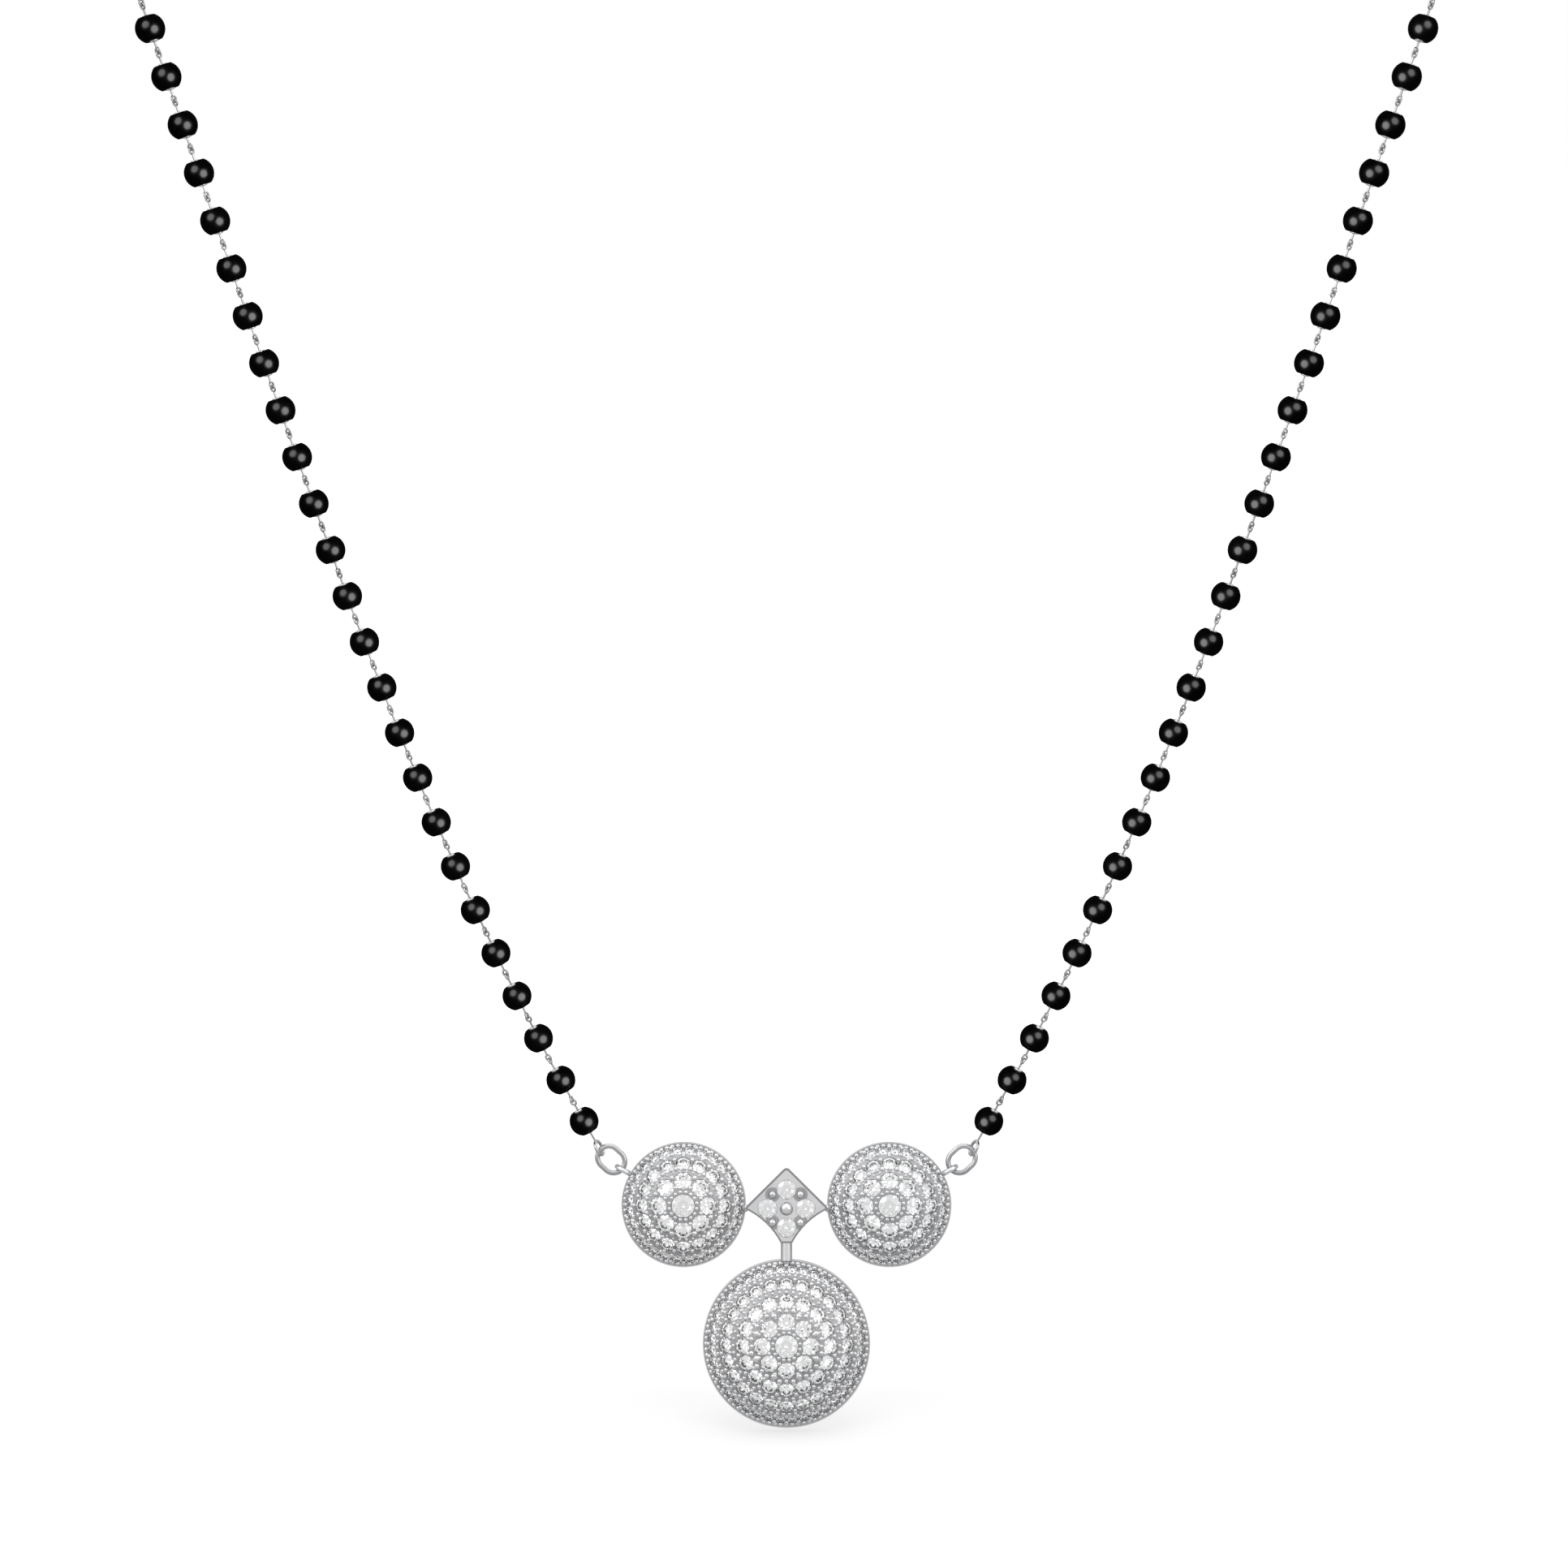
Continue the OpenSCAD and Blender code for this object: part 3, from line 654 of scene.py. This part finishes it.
# The caps past the flats are cut off, each end gets its flat face and its mouth, and the bore joins them
deselect_all()
bpy.ops.mesh.primitive_uv_sphere_add(segments=BEAD_SEGMENTS, ring_count=BEAD_RINGS, radius=BEAD_R)
bead = bpy.context.object
flat_r = BEAD_R * sin(FLAT_TILT)
flat_z = BEAD_R * cos(FLAT_TILT)
bpy.ops.object.mode_set(mode="EDIT")
bpy.ops.mesh.select_mode(type="VERT")
mesh = bmesh.from_edit_mesh(bead.data)
for vertex in mesh.verts:
    vertex.select_set(abs(vertex.co.z) > flat_z + RING_TOLERANCE)
mesh.select_flush_mode()
bpy.ops.mesh.delete(type="VERT")
for side in (1, -1):
    mesh = bmesh.from_edit_mesh(bead.data)
    for edge in mesh.edges:
        edge.select_set(edge.is_boundary and edge.verts[0].co.z * side > 0)
    bmesh.update_edit_mesh(bead.data)
    for old_r, new_r, inwards in ((flat_r, MOUTH_R, 0), (MOUTH_R, BORE_R, MOUTH_R - BORE_R)):
        bpy.ops.mesh.extrude_edges_move()
        bpy.ops.transform.resize(value=(new_r / old_r, new_r / old_r, 1), center_override=(0, 0, 0))
        bpy.ops.transform.translate(value=(0, 0, -side * inwards))
mesh = bmesh.from_edit_mesh(bead.data)
for edge in mesh.edges:
    edge.select_set(edge.is_boundary)
bmesh.update_edit_mesh(bead.data)
bpy.ops.mesh.bridge_edge_loops()
bpy.ops.mesh.select_all(action="SELECT")
bpy.ops.mesh.normals_make_consistent(inside=False)
bpy.ops.object.mode_set(mode="OBJECT")
bpy.ops.object.shade_smooth_by_angle(angle=SHARP_ANGLE)

black_glass, black_glass_shader = polished(
    "black_glass",
    light=(0.0003, 0.0003, 0.0003),
    dark=(0.0001, 0.0001, 0.0001),
    swirl_scale=1800,
    low_roughness=0.2,
    high_roughness=0.26,
    relief=0.002 * MM,
)
black_glass_shader.inputs["Specular IOR Level"].default_value = 0.12

for name, places in strands.items():
    beads = placed_copies(bead, name + "_glass_beads", places)
    dress(beads, black_glass, [name + "_beads"])
bpy.data.objects.remove(bead)


# A length of fine silver wire runs through each bead and is turned into an oval eye at both ends. Each eye
# hooks into its neighbour's, square to it. The two end eyes are larger and of thicker wire: one hangs in the
# jump ring and one in the clasp's loop.
EYE_WIRE_R = 0.078 * MM
EYE_HALF_WIDTH = 0.18 * MM
EYE_HALF_LENGTH = 0.2 * MM
END_EYE_R = 0.5 * MM
END_WIRE_R = 0.12 * MM
TURN_R = 0.22 * MM
TURN_FOOT = 0.66 * MM


def upright(piece):
    """Stands a flat ring up: its long axis along Z and its face towards X."""
    piece.data.transform(Matrix.Rotation(pi / 2, 4, "Y"))


EYE_STRAIGHT = 2 * (EYE_HALF_LENGTH - EYE_HALF_WIDTH)
small_eye = oval_ring(EYE_HALF_WIDTH, EYE_STRAIGHT, EYE_WIRE_R, round_steps=12, wire_steps=5)
upright(small_eye)
end_eye = oval_ring(END_EYE_R, 0, END_WIRE_R, round_steps=28, wire_steps=8)
upright(end_eye)

deselect_all()
bpy.ops.mesh.primitive_cylinder_add(vertices=8, radius=EYE_WIRE_R, depth=1)
shank = bpy.context.object
bpy.ops.object.shade_smooth_by_angle(angle=SHARP_ANGLE)

# The foot of each eye is wound twice round the wire, and these turns sit in the mouth of the bead
wire_turn = oval_ring(TURN_R, 0, EYE_WIRE_R, round_steps=12, wire_steps=5)

for name, places in strands.items():
    half_pitch = (places[1].translation - places[0].translation).length / 2
    eye_middle = half_pitch + EYE_WIRE_R - EYE_HALF_LENGTH
    shank_half = eye_middle - EYE_HALF_LENGTH
    last = len(places) - 1
    eyes, end_eyes, shanks, feet = [], [], [], []
    for number, place in enumerate(places):
        turned = Matrix.Rotation(pi / 2 * (number % 2), 4, "Z")
        for end in (-1, 1):
            at_end = (number == 0 and end == -1) or (number == last and end == 1)
            reach = half_pitch + END_EYE_R if at_end else eye_middle
            foot = place @ Matrix.Rotation(pi * (end < 0), 4, "X")
            for lift in (0, 2 * EYE_WIRE_R):
                feet.append(foot @ Matrix.Translation((0, 0, TURN_FOOT + lift)))
            eye_place = place @ Matrix.Translation((0, 0, end * reach))
            if at_end:
                end_eyes.append(eye_place @ Matrix.Rotation(pi / 2, 4, "Z"))
            else:
                eyes.append(eye_place @ turned)
        low = -half_pitch if number == 0 else -shank_half
        high = half_pitch if number == last else shank_half
        stretch = Matrix.Diagonal((1, 1, high - low, 1))
        shanks.append(place @ Matrix.Translation((0, 0, (low + high) / 2)) @ stretch)
    parts = [
        placed_copies(small_eye, name + "_eyes", eyes),
        placed_copies(end_eye, name + "_end_eyes", end_eyes),
        placed_copies(shank, name + "_shanks", shanks),
    ]
    deselect_all()
    for part in parts:
        part.select_set(True)
    bpy.context.view_layer.objects.active = parts[0]
    bpy.ops.object.join()
    links = bpy.context.view_layer.objects.active
    links.name = name + "_wire_links"
    dress(links, shaded_drawn_wire, [name + "_link_wire"])
    dress(placed_copies(wire_turn, name + "_wire_turns", feet), silver)
for model in (small_eye, end_eye, shank, wire_turn):
    bpy.data.objects.remove(model)


# The clasp closes the loop at the nape: a plain silver barrel with a loop at each end, turned and polished.
# Its own solid is right as it is.
finish_node("clasp", silver)


# The floor is a plain pale sheet just under the drop disc. To the lens it is as white as the ground of a
# studio picture. The beads don't mirror it, so that they stay black below, and it doesn't shade them from
# their panels.
FLOOR_GAP = 0.15 * MM
FLOOR_SIZE = 8
PAPER_GREY = 0.2
floor_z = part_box("pendant_frame")[0].z - FLOOR_GAP

# The paper's glow for the lens is weaker round the shadow, and full beyond it
FADE_MIDDLE = (0, -90 * MM, 0)
FADE_FROM = 30 * MM
FADE_TO = 120 * MM
GLOW_NEAR = 0.72

deselect_all()
bpy.ops.mesh.primitive_plane_add(size=FLOOR_SIZE, location=(0, 0, floor_z))
floor = bpy.context.object
floor.name = "floor"
paper = bpy.data.materials.new("pale_paper")
paper.use_nodes = True
nodes, links = paper.node_tree.nodes, paper.node_tree.links
paper_shader = nodes["Principled BSDF"]
paper_shader.inputs["Base Color"].default_value = (PAPER_GREY, PAPER_GREY, PAPER_GREY, 1)
paper_shader.inputs["Roughness"].default_value = 1
paper_shader.inputs["Specular IOR Level"].default_value = 0
paper_shader.inputs["Emission Color"].default_value = (1, 1, 1, 1)
path = nodes.new("ShaderNodeLightPath")
glow = nodes.new("ShaderNodeMapRange")
glow.inputs["To Min"].default_value = 0
place = nodes.new("ShaderNodeTexCoord")
away = nodes.new("ShaderNodeVectorMath")
away.operation = "DISTANCE"
away.inputs[1].default_value = FADE_MIDDLE
near = nodes.new("ShaderNodeMapRange")
near.interpolation_type = "SMOOTHSTEP"
near.inputs["From Min"].default_value = FADE_FROM
near.inputs["From Max"].default_value = FADE_TO
near.inputs["To Min"].default_value = GLOW_NEAR
near.inputs["To Max"].default_value = 1
links.new(place.outputs["Object"], away.inputs[0])
links.new(away.outputs["Value"], near.inputs["Value"])
links.new(near.outputs["Result"], glow.inputs["To Max"])
links.new(path.outputs["Is Camera Ray"], glow.inputs["Value"])
links.new(glow.outputs["Result"], paper_shader.inputs["Emission Strength"])
floor.data.materials.append(paper)
floor.visible_glossy = False
floor.visible_shadow = False

# The room itself is plain white behind the necklace, lights the floor evenly, and is dark to anything
# glossy, so that the beads stay black. What the metal and the stones mirror is the tent of soft panels that
# stands round them.
ROOM_TO_GLOSS = 0.025
ROOM_TO_FLOOR = 0.95
ROOM_TO_LENS = 1

world = bpy.data.worlds.new("studio_room")
bpy.context.scene.world = world
world.use_nodes = True
world.cycles.sampling_method = "NONE"
nodes, links = world.node_tree.nodes, world.node_tree.links
dark_room = nodes["Background"]
dark_room.inputs["Color"].default_value = (1, 1, 1, 1)
dark_room.inputs["Strength"].default_value = ROOM_TO_GLOSS
path = nodes.new("ShaderNodeLightPath")
so_far = dark_room
for rays, strength in (("Is Diffuse Ray", ROOM_TO_FLOOR), ("Is Camera Ray", ROOM_TO_LENS)):
    shine = nodes.new("ShaderNodeBackground")
    shine.inputs["Color"].default_value = (1, 1, 1, 1)
    shine.inputs["Strength"].default_value = strength
    choice = nodes.new("ShaderNodeMixShader")
    links.new(path.outputs[rays], choice.inputs["Fac"])
    links.new(so_far.outputs[0], choice.inputs[1])
    links.new(shine.outputs[0], choice.inputs[2])
    so_far = choice
links.new(so_far.outputs[0], nodes["World Output"].inputs["Surface"])

PENDANT_MIDDLE = Vector((0, -88, -122)) * MM


def softbox(name, azimuth, elevation, distance, width, height, brightness, lit, middle=PENDANT_MIDDLE):
    """A soft panel that lights some pieces. It faces a middle, from an azimuth right of the front."""
    around, up = radians(azimuth), radians(elevation)
    towards = Vector((sin(around) * cos(up), -cos(around) * cos(up), sin(up)))
    deselect_all()
    bpy.ops.object.light_add(type="AREA", location=middle + towards * distance)
    lamp = bpy.context.object
    lamp.name = name
    lamp.data.shape = "RECTANGLE"
    lamp.data.size = width
    lamp.data.size_y = height
    lamp.data.energy = brightness * pi * width * height
    lamp.rotation_euler = towards.to_track_quat("Z", "Y").to_euler()
    lamp.visible_camera = False
    lamp.light_linking.receiver_collection = lit
    return lamp


def group_of(name, *materials):
    """A collection of every piece that wears one of these materials."""
    group = bpy.data.collections.new(name)
    for piece in bpy.data.objects:
        if any(slot.material in materials for slot in piece.material_slots):
            group.objects.link(piece)
    return group


bright_work = group_of("lit_metal_and_stones", silver, lit_set_silver, shaded_drawn_wire, zirconia)
metal = group_of("lit_metal", silver, lit_set_silver, shaded_drawn_wire)
stones = group_of("lit_stones", zirconia)
ground = group_of("lit_floor", paper)

TENT_R = 1.05
TENT_W = 2.2
TENT_H = 0.75
TENT_UP = 20
TENT_TOP_UP = 0.85
TENT_TOP_W = 2
TENT_FLOOR_GAP = 0.02 * MM
TENT_FLOOR_DOWN = PENDANT_MIDDLE.z - floor_z - TENT_FLOOR_GAP
PANEL_OUT = 0.5

# Each panel: name, azimuth, elevation, distance, width, height, brightness, what it lights
for panel in (
    ("tent_right", 90, TENT_UP, TENT_R, TENT_W, TENT_H, 0.85, bright_work),
    ("tent_back", 180, TENT_UP, TENT_R, TENT_W, TENT_H, 0.5, bright_work),
    ("tent_left", -90, TENT_UP, TENT_R, TENT_W, TENT_H, 0.85, bright_work),
    ("tent_front", 0, TENT_UP, TENT_R, TENT_W, TENT_H, 0.7, metal),
    ("tent_front_for_stones", 0, TENT_UP, TENT_R, TENT_W, TENT_H, 0.75, stones),
    ("tent_top", 0, 90, TENT_TOP_UP, TENT_TOP_W, TENT_TOP_W, 1.25, bright_work),
    ("tent_floor", 0, -90, TENT_FLOOR_DOWN, TENT_TOP_W, TENT_TOP_W, 0.55, bright_work),
    ("floor_panel", 0, 85, PANEL_OUT, 0.4, 0.4, 4, ground),
    ("left_panel", -55, 35, PANEL_OUT, 0.3, 0.3, 1.1, metal),
    ("right_panel", 50, 25, PANEL_OUT, 0.25, 0.25, 1.1, metal),
    ("stone_left_panel", -50, 40, PANEL_OUT, 0.25, 0.25, 2.6, stones),
    ("stone_right_panel", 40, -5, PANEL_OUT, 0.2, 0.2, 2.6, stones),
):
    softbox(*panel)

# Each strand is lit for its beads by two round panels of its own, a bright one on the pendant's side and a
# dimmer one outside and above, so that the two strands mirror each other.
STRAND_MIDDLE = Vector((0, -87, -77)) * MM
STRAND_OUT = 28 * MM
STRAND_PANEL_AWAY = 0.6
for name, side in (("left", -1), ("right", 1)):
    beads = group_of(name + "_lit_beads")
    beads.objects.link(bpy.data.objects[name + "_glass_beads"])
    middle = STRAND_MIDDLE + Vector((side * STRAND_OUT, 0, 0))
    # Each panel: name, azimuth outwards, elevation, width, brightness
    for panel, outwards, elevation, width, brightness in (
        ("inner", -43, -1, 0.62, 18),
        ("outer", 31, 30, 0.54, 11),
    ):
        lamp = softbox(
            f"{name}_{panel}_panel",
            side * outwards,
            elevation,
            STRAND_PANEL_AWAY,
            width,
            width,
            brightness,
            beads,
            middle,
        )
        lamp.data.shape = "ELLIPSE"

# The camera looks at the front of the necklace from a little above, as the photograph does. Its place and
# its lens are fitted to the beads and the pendant there.
CAMERA_UP = 9.14
CAMERA_DISTANCE = 272.4 * MM
FRAME_MIDDLE = Vector((-0.168, -86.9, -90.901)) * MM
towards = Vector((0, -cos(radians(CAMERA_UP)), sin(radians(CAMERA_UP))))
deselect_all()
bpy.ops.object.camera_add(location=FRAME_MIDDLE + towards * CAMERA_DISTANCE)
camera = bpy.context.object
camera.name = "camera"
camera.rotation_euler = towards.to_track_quat("Z", "Y").to_euler()
camera.data.sensor_width = 36
camera.data.lens = 93
camera.data.clip_start = 0.005
bpy.context.scene.camera = camera
bpy.context.scene.view_settings.view_transform = "Standard"
